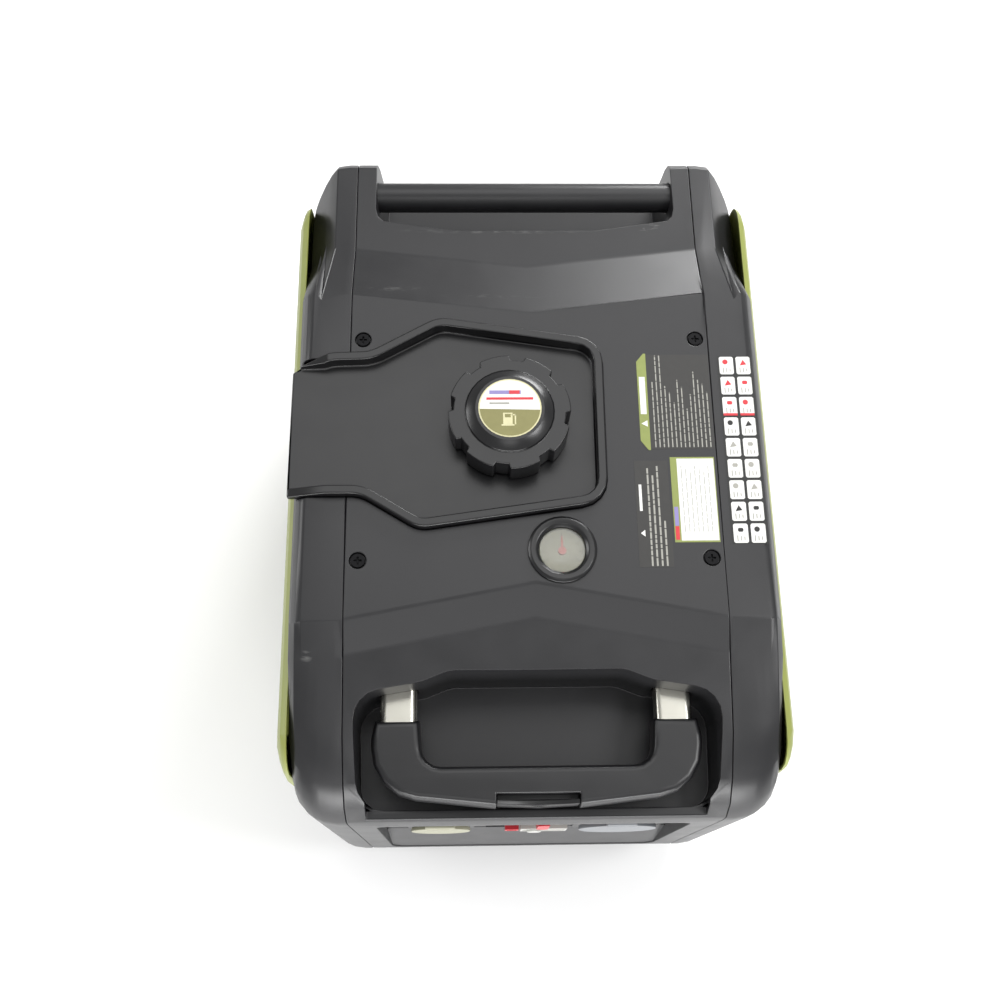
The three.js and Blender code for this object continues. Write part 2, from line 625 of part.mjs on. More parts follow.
const FLOAT_DEPTH = 60; // of the float arm's pivot under the cover
const FLOAT_PIVOT_Z = TOP - FLOAT_DEPTH;
const FLOAT_ARM = 88;
const FLOAT_REST = THREE.MathUtils.degToRad(-42);
const floatPivot = groupAt(GAUGE_X, GAUGE_Y, FLOAT_PIVOT_Z);
floatPivot.rotation.x = FLOAT_REST;
const floatArm = joined(
  rod("x", 4, -6, 6, 0, 0, 16),
  rod("y", 1.6, 2, FLOAT_ARM, 0, 0, 8),
  rod("x", 13, -13, 13, FLOAT_ARM, 0, 20),
);
piece("gauge_float", floatArm, darkPlastic, floatPivot);

// ---- Fuel: tank, neck, strainer, cap ----
const TANK_HALF = 92;
const TANK_FRONT = -150;
const TANK_REAR = 140;
const TANK_BOTTOM = 290;
const TANK_WALL = 4;

function fuelTank() {
  const corners = rectangle(0, (TANK_FRONT + TANK_REAR) / 2, 2 * TANK_HALF, TANK_REAR - TANK_FRONT, 30);
  const outer = slab("z", outline(corners), TANK_BOTTOM, TANK_TOP);
  const inner = slab("z", outline(corners, -TANK_WALL), TANK_BOTTOM + TANK_WALL, TANK_TOP - TANK_WALL);
  const neckHole = rod("z", NECK_RADIUS + GAP, TANK_TOP - 20, TANK_TOP + 5, CAP_X, CAP_Y);
  const gaugeHole = rod("z", 20, TANK_TOP - 20, TANK_TOP + 5, GAUGE_X, GAUGE_Y);
  return cut(outer, inner, neckHole, gaugeHole);
}

piece("fuel_tank", fuelTank(), tankPlastic);

const filler = groupAt(CAP_X, CAP_Y, 0);
const neckFlange = NECK_RADIUS + 10;
const neckProfile = [
  [NECK_BORE, TANK_TOP - 8], [NECK_RADIUS, TANK_TOP - 8], [NECK_RADIUS, TANK_TOP + GAP],
  [neckFlange, TANK_TOP + GAP], [neckFlange, TANK_TOP + 4], [NECK_RADIUS, TANK_TOP + 4],
  [NECK_RADIUS, NECK_TOP], [NECK_BORE, NECK_TOP], [NECK_BORE, TANK_TOP - 8],
];
piece("filler_neck", turned(neckProfile, 24), darkPlastic, filler);

const STRAINER_DEPTH = 50;
const strainerTop = NECK_TOP + GAP + 1;
const basketRadius = NECK_BORE - 1;
const basketFloor = strainerTop - STRAINER_DEPTH;
const strainerProfile = [
  [0, basketFloor], [basketRadius, basketFloor], [basketRadius, NECK_TOP + GAP],
  [NECK_RADIUS - 2, NECK_TOP + GAP], [NECK_RADIUS - 2, strainerTop], [basketRadius - 1.5, strainerTop],
  [basketRadius - 1.5, basketFloor + 1.5], [0, basketFloor + 1.5],
];
piece("fuel_strainer", turned(strainerProfile, 20), tankPlastic, filler);

const CAP_RADIUS = 53;
const CAP_LOBES = 8;
const LOBE_DEPTH = 4.5;
const CAP_BORE = NECK_RADIUS + 1.5;
const CAP_BOTTOM = TRAY_FLOOR + 2;
const SEAL_BOTTOM = strainerTop + GAP;
const SEAL_THICK = 2.7;
const CAP_CEILING = SEAL_BOTTOM + SEAL_THICK + GAP;
const CAP_RIM_TOP = CAP_CEILING + 7;
const CAP_HUB_TOP = CAP_CEILING + 14;

const sealProfile = [
  [NECK_BORE, SEAL_BOTTOM], [CAP_BORE - 0.5, SEAL_BOTTOM], [CAP_BORE - 0.5, SEAL_BOTTOM + SEAL_THICK],
  [NECK_BORE, SEAL_BOTTOM + SEAL_THICK], [NECK_BORE, SEAL_BOTTOM],
];
piece("fuel_cap_seal", turned(sealProfile, 24), rubber, filler);

// The cap's rim seen from above: lobes to grip, with short steps between them.
function capOutline() {
  const points = [];
  for (let lobe = 0; lobe < CAP_LOBES; lobe++) {
    const arcs = [[CAP_RADIUS, 0, 0.64, 4], [CAP_RADIUS - LOBE_DEPTH, 0.68, 0.96, 2]];
    for (const [radius, start, end, steps] of arcs) {
      for (let k = 0; k <= steps; k++) {
        const angle = ((lobe + start + ((end - start) * k) / steps) / CAP_LOBES) * 2 * Math.PI;
        points.push(new THREE.Vector2(radius * Math.cos(angle), radius * Math.sin(angle)));
      }
    }
  }
  return points;
}

function fuelCap() {
  const foot = CAP_RADIUS * 0.72;
  const hub = turned([
    [0, CAP_RIM_TOP - 1], [foot, CAP_RIM_TOP - 1], [foot, CAP_RIM_TOP + 1],
    [foot - 5.3, CAP_HUB_TOP - 2], [foot - 8.5, CAP_HUB_TOP], [0, CAP_HUB_TOP],
  ], 32);
  const rim = slab("z", capOutline(), CAP_BOTTOM, CAP_RIM_TOP);
  return cut(joined(rim, hub), rod("z", CAP_BORE, CAP_BOTTOM - 5, CAP_CEILING, 0, 0, 24));
}

piece("fuel_cap", fuelCap(), darkPlastic, filler);

// ---- Trolley handle: a grip on two tubes that slide out of the front ----
const GRIP_HALF = 138;
const GRIP_FRONT = WELL_FRONT - 1;
const GRIP_DEPTH = 33;
const ELBOW_END = WELL_REAR - 18; // where the tubes leave the grip
const GRIP_BOTTOM = RAIL_TOP + 4;
const GRIP_TOP = 2 * TUBE_Z - GRIP_BOTTOM;
const TUBE_SEAT = 22; // how deep a tube sits in the grip
const TUBE_END = 160; // rear end of a tube with the handle pushed in
const BUTTON_HALF = 34;
const BUTTON_DEPTH = 12;
const BUTTON_TRAVEL = 4;
const LIP_DEPTH = 6; // of the button's hollowed lip, which shows in a notch of the grip

function handleGrip() {
  const elbow = TUBE_WIDTH + 9;
  const side = (s) => [
    [s * (GRIP_HALF - 3), ELBOW_END], [s * GRIP_HALF, ELBOW_END - 14, 12],
    [s * GRIP_HALF, GRIP_FRONT + 11, 42], [s * 34, GRIP_FRONT, 30],
  ];
  const inside = (s) => [
    [s * (GRIP_HALF - elbow), ELBOW_END], [s * (GRIP_HALF - elbow - 3), GRIP_FRONT + GRIP_DEPTH, 16],
  ];
  const outer = [...side(-1), ...side(1).reverse(), ...inside(1), ...inside(-1).reverse()];
  let grip = bevelled(outer, 6, GRIP_BOTTOM, GRIP_TOP);
  for (const side of [-1, 1]) {
    const socket = rectangle(side * TUBE_X, TUBE_Z, TUBE_WIDTH, TUBE_HEIGHT, 6);
    grip = cut(grip, slab("y", outline(socket, GAP), ELBOW_END - TUBE_SEAT - GAP, ELBOW_END + 5));
  }
  const half = BUTTON_HALF + 0.6;
  const pocketRear = GRIP_FRONT + BUTTON_DEPTH + BUTTON_TRAVEL;
  const pocket = box(-half, half, FRONT - 10, pocketRear, GRIP_BOTTOM - 5, GRIP_BOTTOM + 17);
  const notch = box(-half, half, FRONT - 10, GRIP_FRONT + LIP_DEPTH + BUTTON_TRAVEL + 0.6, TUBE_Z, FAR + TOP);
  return cut(grip, pocket, notch);
}

function releaseButton() {
  const rear = GRIP_FRONT + BUTTON_DEPTH - 1;
  const face = flat([
    [-BUTTON_HALF, GRIP_FRONT + 2], [0, GRIP_FRONT + 0.5], [BUTTON_HALF, GRIP_FRONT + 2],
    [BUTTON_HALF, rear], [-BUTTON_HALF, rear],
  ]);
  const across = [-1, -0.75, -0.4, 0, 0.4, 0.75, 1];
  const hollow = across.map((t) => [BUTTON_HALF * t, GRIP_BOTTOM + 17 + 9 * t ** 2]);
  const lip = flat([[-BUTTON_HALF, GRIP_BOTTOM + 10], [BUTTON_HALF, GRIP_BOTTOM + 10], ...hollow.reverse()]);
  return joined(
    slab("z", face, GRIP_BOTTOM + 2, GRIP_BOTTOM + 16),
    slab("y", lip, GRIP_FRONT + 2, GRIP_FRONT + LIP_DEPTH),
  );
}

const hollowBar = (x, width, height, wall, from, to) => cut(
  slab("y", outline(rectangle(x, TUBE_Z, width, height, 6)), from, to),
  slab("y", outline(rectangle(x, TUBE_Z, width, height, 6), -wall), from - 1, to + 1),
);

piece("handle_grip", handleGrip(), rubber);
piece("handle_release_button", releaseButton(), darkPlastic);
const guideWidth = TUBE_WIDTH + 2 * (TUBE_PLAY + GUIDE_WALL);
const guideHeight = TUBE_HEIGHT + 2 * (TUBE_PLAY + GUIDE_WALL);
for (const [name, side] of [["left", -1], ["right", 1]]) {
  const tube = hollowBar(side * TUBE_X, TUBE_WIDTH, TUBE_HEIGHT, TUBE_WALL, ELBOW_END - TUBE_SEAT, TUBE_END);
  piece(name + "_handle_tube", tube, chrome);
  const guide = hollowBar(side * TUBE_X, guideWidth, guideHeight, GUIDE_WALL, WELL_REAR + 16, TUBE_END + 15);
  piece(name + "_guide_tube", guide, steel);
}

// ---- Wheels, axle and feet ----
const HUB_RADIUS = 34;
const AXLE_HALF = WHEEL_X + WHEEL_WIDTH / 2 + 2;

function wheelRing(profile, side) {
  const ring = turned(profile, 24).rotate([0, 90, 0]);
  return side > 0 ? ring : ring.mirror([1, 0, 0]);
}

const halfTyre = WHEEL_WIDTH / 2;
const tyreProfile = [
  [HUB_RADIUS + GAP, -halfTyre + 3], [WHEEL_RADIUS - 7, -halfTyre],
  [WHEEL_RADIUS - 1.5, -halfTyre + 5], [WHEEL_RADIUS, 0], [WHEEL_RADIUS - 1.5, halfTyre - 5],
  [WHEEL_RADIUS - 7, halfTyre], [HUB_RADIUS + GAP, halfTyre - 3], [HUB_RADIUS + GAP, -halfTyre + 3],
];
const hubProfile = [
  [AXLE_RADIUS + 0.3, -13], [14, -13], [16, -6], [27, -6], [29, -13], [HUB_RADIUS, -13],
  [HUB_RADIUS, 13], [29, 13], [27, 4], [16, 4], [14, 13], [AXLE_RADIUS + 0.3, 13], [AXLE_RADIUS + 0.3, -13],
];
for (const [name, side] of [["left", -1], ["right", 1]]) {
  const wheel = groupAt(side * WHEEL_X, WHEEL_Y, WHEEL_RADIUS);
  piece(name + "_tyre", wheelRing(tyreProfile, side), rubber, wheel);
  piece(name + "_hub", wheelRing(hubProfile, side), darkPlastic, wheel);
  const foot = groupAt(side * 140, FRONT + 70, 0);
  const footProfile = [[0, 0], [20, 0], [22, 4], [18, GROUND_GAP - GAP], [0, GROUND_GAP - GAP]];
  piece(name + "_foot", turned(footProfile, 24), rubber, foot);
}
piece("wheel_axle", rod("x", AXLE_RADIUS, -AXLE_HALF, AXLE_HALF, WHEEL_Y, WHEEL_RADIUS), steel);

// ---- Engine and alternator, on one shaft along Y ----
const SHAFT_Z = 160;
const CASE_HALF = 80;
const CASE_FRONT = -15;
const CASE_REAR = 105;

function crankcase() {
  const corners = rectangle(0, 156, 2 * CASE_HALF, 168, 24);
  const housing = slab("y", outline(corners), CASE_FRONT, CASE_REAR);
  const half = CASE_HALF + 10;
  const mounts = box(-half, half, CASE_FRONT + 10, CASE_REAR - 10, GROUND_GAP + WALL + GAP, 90);
  return cut(joined(housing, mounts), rod("y", 12.5, CASE_FRONT - 5, CASE_REAR + 5, 0, SHAFT_Z));
}

function cylinder() {
  const fins = 8;
  const root = -CASE_HALF - GAP;
  const pitch = 11;
  let body = box(root - fins * pitch, root, 18, 72, 160, 228);
  for (let i = 0; i < fins; i++) {
    const x = root - 6 - i * pitch;
    body = body.add(box(x - 3, x, 5, 85, 148, 240));
  }
  return body.add(box(root - fins * pitch - 18, root - fins * pitch + 1, 12, 78, 155, 233));
}

function sparkPlug() {
  return joined(rod("y", 7, 85.3, 100, -150, 195, 12), rod("y", 11, 99, 118, -150, 195, 12));
}

piece("crankcase", crankcase(), castAluminium);
piece("cylinder", cylinder(), castAluminium);
piece("spark_plug", sparkPlug(), darkPlastic);
piece("crankshaft", rod("y", 12, -104, CASE_REAR - 5, 0, SHAFT_Z), steel);

const ringY = (outer, inner, from, to, sides = 28) =>
  cut(rod("y", outer, from, to, 0, SHAFT_Z, sides), rod("y", inner, from - 1, to + 1, 0, SHAFT_Z, sides));
piece("alternator_stator", ringY(70, 30, -60, CASE_FRONT - GAP), copper);
const rotorBell = joined(ringY(88, 74, -75, -20), ringY(88, 12.3, -80, -74.9));
piece("alternator_rotor", rotorBell, steel);

function coolingFan() {
  let fan = ringY(92, 12.3, -84, -80 - GAP);
  const blades = 9;
  for (let i = 0; i < blades; i++) {
    const blade = box(40, 91, -104, -83.5, -1.5, 1.5).rotate([0, (360 / blades) * i, 0]);
    fan = fan.add(blade.translate([0, 0, SHAFT_Z]));
  }
  return fan;
}

piece("cooling_fan", coolingFan(), darkPlastic);

const RECOIL_RADIUS = 72;
const recoilCan = cut(
  rod("y", RECOIL_RADIUS, -150, -110, 0, SHAFT_Z, 32),
  rod("y", RECOIL_RADIUS - 3, -147, -105, 0, SHAFT_Z, 32),
  box(0, FAR, RECOIL_Y - 5, RECOIL_Y + 5, RECOIL_Z - 6, RECOIL_Z + 6),
);
piece("recoil_housing", recoilCan, steel);

// The pull grip lies on the right side wall; its rope runs straight in to the starter drum.
function recoilGrip() {
  const bar = slab("x", outline(rectangle(RECOIL_Y, RECOIL_Z, 24, 84, 10)), BODY_HALF + 1, BODY_HALF + 15);
  const rope = rod("x", ROPE_RADIUS, 20, BODY_HALF + 3, RECOIL_Y, RECOIL_Z, 10);
  return joined(bar, rope);
}

piece("recoil_grip", recoilGrip(), rubber);

const muffler = slab("y", outline(rectangle(0, 170, 220, 160, 40)), 130, 225);
piece("muffler", joined(muffler, rod("y", 13, 85 + GAP, 131, -100, 170, 20)), steel);
const tipProfile = cut(
  rod("y", EXHAUST_RADIUS, 225 + GAP, REAR - 6, EXHAUST_X, EXHAUST_Z, 28),
  rod("y", EXHAUST_RADIUS - 4, 235, REAR + 5, EXHAUST_X, EXHAUST_Z, 28),
);
piece("exhaust_tip", tipProfile, steel);

const throttleBody = joined(box(-150, -112, -32, -4, 200, 236), rod("y", 14, -38, 5 - GAP, -131, 218, 20));
piece("carburettor", throttleBody, castAluminium);
const airBox = slab("z", outline(rectangle(-148, -95, 92, 112, 16)), 204, 385);
piece("air_cleaner", airBox, darkPlastic);

function inverterModule() {
  let module = box(-118, 118, FRONT + 45, FRONT + 100, 60, 165);
  for (let i = 0; i < 9; i++) {
    const x = -104 + i * 26;
    module = module.add(box(x - 2, x + 2, FRONT + 99, FRONT + 118, 64, 161));
  }
  return module;
}

piece("inverter_module", inverterModule(), castAluminium);

// ---- Control panel ----
function controlPanel() {
  const top = PANEL_Z + PANEL_HEIGHT / 2;
  const corners = rectangle(0, (CHIN_TOP + top) / 2, PANEL_WIDTH + 4, top - CHIN_TOP + 4, 10);
  let plate = slab("y", outline(corners), PANEL_Y, PANEL_Y + PANEL_PLATE);
  for (const side of [-1, 1]) {
    plate = cut(plate, rod("y", SOCKET_HOLE + 4, PANEL_Y - 5, PANEL_Y + 10, side * SOCKET_X, SOCKET_Z, 32));
  }
  plate = cut(plate, rod("y", 5, PANEL_Y - 5, PANEL_Y + 10, SWITCH_X, SWITCH_Z, 16));
  plate = cut(plate, box(-42, -18, PANEL_Y - 5, PANEL_Y + 10, LOW_ROW_Z - 10, LOW_ROW_Z + 10));
  return cut(plate, rod("y", 7, PANEL_Y - 5, PANEL_Y + 10, 30, LOW_ROW_Z, 20));
}

piece("control_panel", controlPanel(), darkPlastic);

const SOCKET_FRONT = PANEL_Y - 3;
const SOCKET_DEPTH = 16; // of the round recess that a plug goes into
function powerSocket(radius) {
  const width = 2 * radius + 16;
  const flange = slab("y", outline(rectangle(0, 0, width, width, 8)), SOCKET_FRONT, PANEL_Y - GAP);
  const body = rod("y", SOCKET_HOLE + 3.5, PANEL_Y - 2, PANEL_Y + 26, 0, 0, 32);
  const recess = rod("y", SOCKET_HOLE, SOCKET_FRONT - 5, SOCKET_FRONT + SOCKET_DEPTH, 0, 0, 32);
  const pins = [-1, 1].map((s) => rod("y", 3, SOCKET_FRONT, SOCKET_FRONT + 24, s * 9.5, 0, 10));
  return cut(joined(flange, body), recess, ...pins);
}

const COVER_THICK = 4;
const COVER_HINGE = 3.2;
function socketCover(radius) {
  const lid = rod("y", radius + 4, -COVER_THICK / 2, COVER_THICK / 2, 0, -radius - 8, 40);
  const barrel = rod("x", COVER_HINGE, -14, 14, 0, 0, 14);
  const tongue = box(-14, 14, -COVER_THICK / 2, COVER_THICK / 2, -14, 0);
  return joined(lid, tongue, barrel);
}

const LEFT_SOCKET_RADIUS = 24;
const RIGHT_SOCKET_RADIUS = 33;
for (const [name, side, radius] of [["left", -1, LEFT_SOCKET_RADIUS], ["right", 1, RIGHT_SOCKET_RADIUS]]) {
  piece(name + "_socket", powerSocket(radius), darkPlastic, groupAt(side * SOCKET_X, 0, SOCKET_Z));
  const hinge = groupAt(side * SOCKET_X, SOCKET_FRONT - COVER_HINGE - GAP, SOCKET_Z + radius + 8);
  piece(name + "_socket_cover", socketCover(radius), darkPlastic, hinge);
}

const knobAxis = groupAt(SWITCH_X, PANEL_Y, SWITCH_Z);
const knob = joined(
  rod("y", 4.5, -4, 12, 0, 0, 16),
  rod("y", 21, -4, -GAP, 0, 0, 32),
  slab("y", outline(rectangle(0, 0, 11, 40, 5)), -11, -3),
);
piece("engine_switch_knob", knob, red, knobAxis);

const rocker = groupAt(-30, PANEL_Y + 1, LOW_ROW_Z);
const ROCKER_TILT = THREE.MathUtils.degToRad(8);
rocker.rotation.x = ROCKER_TILT;
const rockerSide = flat([[3, -8.6], [3, 8.6], [-3.4, 8.6], [-1.6, 0], [-3.4, -8.6]]);
piece("eco_switch", slab("x", rockerSide, -11, 11), darkPlastic, rocker);

const breaker = groupAt(30, PANEL_Y, LOW_ROW_Z);
const resetButton = joined(rod("y", 6.4, -7, 8, 0, 0, 20), rod("y", 8.5, 7, 10, 0, 0, 20));
piece("breaker_button", resetButton, darkPlastic, breaker);

generator.position.y = -MIDDLE_SHIFT;
export default generator;
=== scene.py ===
"""A portable inverter generator in a closed plastic case, with a trolley handle and two wheels.
Metres, +Z up. The control panel faces -Y, the exhaust +Y."""

import json
import math
import random

import bmesh
import bpy
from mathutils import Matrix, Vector

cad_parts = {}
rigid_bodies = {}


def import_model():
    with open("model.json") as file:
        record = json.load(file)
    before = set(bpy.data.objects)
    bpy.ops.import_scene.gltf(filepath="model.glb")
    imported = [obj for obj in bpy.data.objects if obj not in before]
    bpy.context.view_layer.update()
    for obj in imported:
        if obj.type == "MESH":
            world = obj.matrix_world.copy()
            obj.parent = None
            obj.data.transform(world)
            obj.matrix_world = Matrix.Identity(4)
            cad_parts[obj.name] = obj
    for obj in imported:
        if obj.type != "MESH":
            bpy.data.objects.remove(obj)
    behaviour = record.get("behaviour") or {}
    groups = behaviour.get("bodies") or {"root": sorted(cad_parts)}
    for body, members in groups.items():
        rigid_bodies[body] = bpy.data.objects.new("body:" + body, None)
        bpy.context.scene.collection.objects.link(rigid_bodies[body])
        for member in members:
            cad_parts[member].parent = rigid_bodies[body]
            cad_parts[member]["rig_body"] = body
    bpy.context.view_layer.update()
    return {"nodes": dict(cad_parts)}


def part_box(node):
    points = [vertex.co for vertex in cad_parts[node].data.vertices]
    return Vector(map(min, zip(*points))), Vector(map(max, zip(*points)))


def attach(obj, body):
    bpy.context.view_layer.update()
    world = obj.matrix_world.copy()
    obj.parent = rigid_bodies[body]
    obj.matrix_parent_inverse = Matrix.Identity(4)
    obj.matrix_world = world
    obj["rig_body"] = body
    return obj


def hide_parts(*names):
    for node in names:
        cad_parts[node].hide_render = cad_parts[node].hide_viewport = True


for leftover in list(bpy.data.objects):
    bpy.data.objects.remove(leftover)
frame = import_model()
MM = 0.001

# ---- Case shells ----
# The top cover, two side frames, front frame and rear cover are injection-moulded ABS, about 3.5 mm
# thick and charcoal all through. The mould is spark-eroded, which leaves a fine matt grain, and
# rounds every edge by a millimetre. They screw to the base pan and meet at fine shadow gaps.
SHELL_EDGE = 1.0 * MM
RIDGE_EDGE = 2.2 * MM
RAIL_EDGE = 4 * MM
RAIL_TOP = 412 * MM  # the low bar of the cover in front of the trolley handle
RAIL_LIP = -306 * MM
TOP_FACETS = 455 * MM  # the facets of the top all lie over this height
SHARP = math.radians(33)
SMOOTH = math.radians(32)
SAME_PLANE = math.radians(1)


def linear(colour):
    """A hex colour in sRGB as linear red, green, blue and alpha."""
    channels = [int(colour[i : i + 2], 16) / 255 for i in (1, 3, 5)]
    return [c / 12.92 if c < 0.04045 else ((c + 0.055) / 1.055) ** 2.4 for c in channels] + [1.0]


def add(material, kind, inputs=None, **settings):
    """Adds a node: inputs are its sockets' values or what feeds them, settings its own properties."""
    node = material.node_tree.nodes.new("ShaderNode" + kind)
    for name, value in settings.items():
        setattr(node, name, value)
    for name, value in (inputs or {}).items():
        if isinstance(value, bpy.types.NodeSocket):
            material.node_tree.links.new(value, node.inputs[name])
        else:
            node.inputs[name].default_value = value
    return node


def blank(name):
    """An empty node material, and the object coordinates that its patterns are laid out in."""
    material = bpy.data.materials.new(name)
    material.use_nodes = True
    material.node_tree.nodes.clear()
    return material, add(material, "TexCoord").outputs["Object"]


def surface(material, **inputs):
    """Ends a material in one shader with these inputs."""
    named = {name.replace("_", " "): value for name, value in inputs.items()}
    shader = add(material, "BsdfPrincipled", named)
    add(material, "OutputMaterial", {"Surface": shader.outputs["BSDF"]})
    return material


def moulded_plastic(name, dark, light, roughness, grain=0.9 * MM, depth=0.03 * MM, rubs=()):
    """Textured ABS, mottled between two close colours. Rubs are places and reaches of pale wear."""
    material, place = blank(name)
    cloud = add(material, "TexNoise", {"Vector": place, "Scale": 1 / (30 * MM), "Detail": 4.0}).outputs["Fac"]
    colours = {"Fac": cloud, "Color1": linear(dark), "Color2": linear(light)}
    colour = add(material, "MixRGB", colours).outputs["Color"]
    if rubs:
        stretch = add(material, "Mapping", {"Vector": place, "Scale": (0.35, 1.0, 1.0)}).outputs["Vector"]
        flecks = add(material, "TexNoise", {"Vector": stretch, "Scale": 1 / (3.2 * MM), "Detail": 5.0})
        flecks = add(material, "MapRange", {"Value": flecks.outputs["Fac"], "From Min": 0.5, "From Max": 0.7})
        for centre, reach, strength in rubs:
            centre, reach = Vector(centre) * MM, Vector(reach) * MM
            away = add(material, "VectorMath", {0: place, 1: centre}, operation="SUBTRACT")
            away = add(material, "VectorMath", {0: away.outputs[0], 1: reach}, operation="DIVIDE")
            away = add(material, "VectorMath", {0: away.outputs[0]}, operation="LENGTH").outputs["Value"]
            near = {"Value": away, "From Min": 1.0, "From Max": 0.35, "To Max": strength}
            near = add(material, "MapRange", near).outputs["Result"]
            worn = add(material, "Math", {0: near, 1: flecks.outputs["Result"]}, operation="MULTIPLY")
            colours = {"Fac": worn.outputs["Value"], "Color1": colour, "Color2": linear("#8f8f8d")}
            colour = add(material, "MixRGB", colours).outputs["Color"]
    gloss = {"Value": cloud, "To Min": roughness - 0.05, "To Max": roughness + 0.05}
    gloss = add(material, "MapRange", gloss).outputs["Result"]
    bumps = add(material, "TexNoise", {"Vector": place, "Scale": 1 / grain, "Detail": 2.0}).outputs["Fac"]
    relief = add(material, "Bump", {"Height": bumps, "Distance": depth, "Strength": 1.0}).outputs["Normal"]
    return surface(material, Base_Color=colour, Roughness=gloss, Normal=relief, IOR=1.53)


def select_only(piece):
    """Leaves this piece as the only one selected, and the active one."""
    bpy.ops.object.select_all(action="DESELECT")
    piece.select_set(True)
    bpy.context.view_layer.objects.active = piece


def apply_modifier(piece, kind, **settings):
    """Adds a modifier with these settings and applies it."""
    select_only(piece)
    modifier = piece.modifiers.new(kind, kind)
    for name, value in settings.items():
        setattr(modifier, name, value)
    bpy.ops.object.modifier_apply(modifier=modifier.name)


def soften(piece, edge, segments=2, sharp=SHARP):
    """Rounds a piece's sharp edges and shades it smoothly, its flat faces staying flat."""
    settings = {"width": edge, "segments": segments, "limit_method": "ANGLE", "angle_limit": sharp}
    apply_modifier(piece, "BEVEL", use_clamp_overlap=False, **settings)
    bpy.ops.object.shade_smooth_by_angle(angle=SMOOTH)
    apply_modifier(piece, "WEIGHTED_NORMAL", keep_sharp=True, weight=90)


def mount(piece, body, material):
    """Finishes a piece: its place goes into its mesh, and it gets its material and body."""
    select_only(piece)
    bpy.ops.object.transform_apply(location=True, rotation=True, scale=True)
    piece.data.materials.clear()
    piece.data.materials.append(material)
    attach(piece, body)
    return piece


def edges_to_select(piece, chosen):
    """Selects a piece's edges, in edit mode, by a test of the edge."""
    bpy.ops.mesh.select_mode(type="EDGE")
    mesh = bmesh.from_edit_mesh(piece.data)
    mesh.normal_update()
    for edge in mesh.edges:
        edge.select_set(len(edge.link_faces) == 2 and chosen(edge))
    bmesh.update_edit_mesh(piece.data)


def is_ridge(edge):
    """A shallow crease that runs across the top of the case."""
    along = edge.verts[1].co - edge.verts[0].co
    middle = (edge.verts[0].co + edge.verts[1].co) / 2
    fold = edge.calc_face_angle(0)
    across = abs(along.x) > 0.9 * along.length and along.length > 20 * MM
    return across and middle.z > TOP_FACETS and math.radians(7) < fold < SHARP


def is_rail_lip(edge):
    """The front upper edge of the low bar in front of the trolley handle."""
    start, end = edge.verts[0].co, edge.verts[1].co
    along = abs(start.x - end.x) > 0.9 * (start - end).length and abs(start.x - end.x) > 30 * MM
    return along and all(abs(v.z - RAIL_TOP) < 0.6 * MM and v.y < RAIL_LIP for v in (start, end))


def rounded(node, name, material, edge=SHELL_EDGE, ridges=False, segments=2):
    """A copy of a moulded part with the edges that its mould rounds, shown in its place."""
    copy = bpy.data.objects.new(name, frame["nodes"][node].data.copy())
    bpy.context.collection.objects.link(copy)
    select_only(copy)
    bpy.ops.mesh.customdata_custom_splitnormals_clear()
    bpy.ops.object.mode_set(mode="EDIT")
    bpy.ops.mesh.select_all(action="SELECT")
    bpy.ops.mesh.remove_doubles(threshold=0.02 * MM)
    bpy.ops.mesh.dissolve_limited(angle_limit=SAME_PLANE)
    if ridges:
        edges_to_select(copy, is_ridge)
        bpy.ops.mesh.bevel(offset=RIDGE_EDGE, segments=3, affect="EDGES", clamp_overlap=True)
        edges_to_select(copy, is_rail_lip)
        if copy.data.total_edge_sel:
            bpy.ops.mesh.bevel(offset=RAIL_EDGE, segments=5, affect="EDGES", clamp_overlap=True)
    bpy.ops.object.mode_set(mode="OBJECT")
    soften(copy, edge, segments)
    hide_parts(node)
    return mount(copy, frame["nodes"][node]["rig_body"], material)


case_rubs = [
    ((118, 231, 464), (16, 4, 12), 0.75),
    ((-20, 150, 484), (70, 5, 6), 0.22),
    ((-120, 158, 484), (40, 5, 6), 0.28),
    ((-20, 228, 464), (110, 4, 6), 0.25),
    ((-190, -180, 473), (6, 9, 10), 0.3),
]
charcoal_abs = moulded_plastic("charcoal_textured_abs", "#18181a", "#212123", 0.38, rubs=case_rubs)
rounded("top_cover", "cover_shell", charcoal_abs, ridges=True)
rounded("left_side_frame", "left_frame_shell", charcoal_abs, ridges=True)
rounded("right_side_frame", "right_frame_shell", charcoal_abs, ridges=True)
rounded("front_frame", "front_shell", charcoal_abs)
rounded("rear_cover", "rear_shell", charcoal_abs)
rounded("rear_carry_bar", "carry_bar", charcoal_abs)

# ---- Base pan ----
# A deep tray of the same ABS, unpainted black and a little glossier, that carries the engine.
black_abs = moulded_plastic("black_moulded_abs", "#0e0e0f", "#141416", 0.38, grain=1.2 * MM)
rounded("base_pan", "base_tray", black_abs)

# ---- Side panels and service hatch ----
# Satin olive-lime panels, moulded in coloured ABS and snapped on from outside. The left one has a
# hatch on two pins, held by a quarter-turn latch with a coin slot.
lime_abs = moulded_plastic("lime_satin_abs", "#848b44", "#90974f", 0.42, grain=0.7 * MM, depth=0.012 * MM)
rounded("left_side_panel", "left_panel", lime_abs)
rounded("right_side_panel", "right_panel", lime_abs)
rounded("service_door", "hatch_lid", lime_abs, edge=0.7 * MM)
rounded("door_latch", "hatch_latch", black_abs, edge=0.4 * MM)

# ---- Fuel tray ----
# A raised dish round the filler in black ABS, polished by the mould, that sheds spilt fuel over
# the left side. Its rims are rounded.
tray_abs = moulded_plastic("black_satin_abs", "#0b0b0c", "#111113", 0.3, grain=1.4 * MM, depth=0.015 * MM)
rounded("fuel_tray", "spill_dish", tray_abs, edge=1.6 * MM, segments=3)

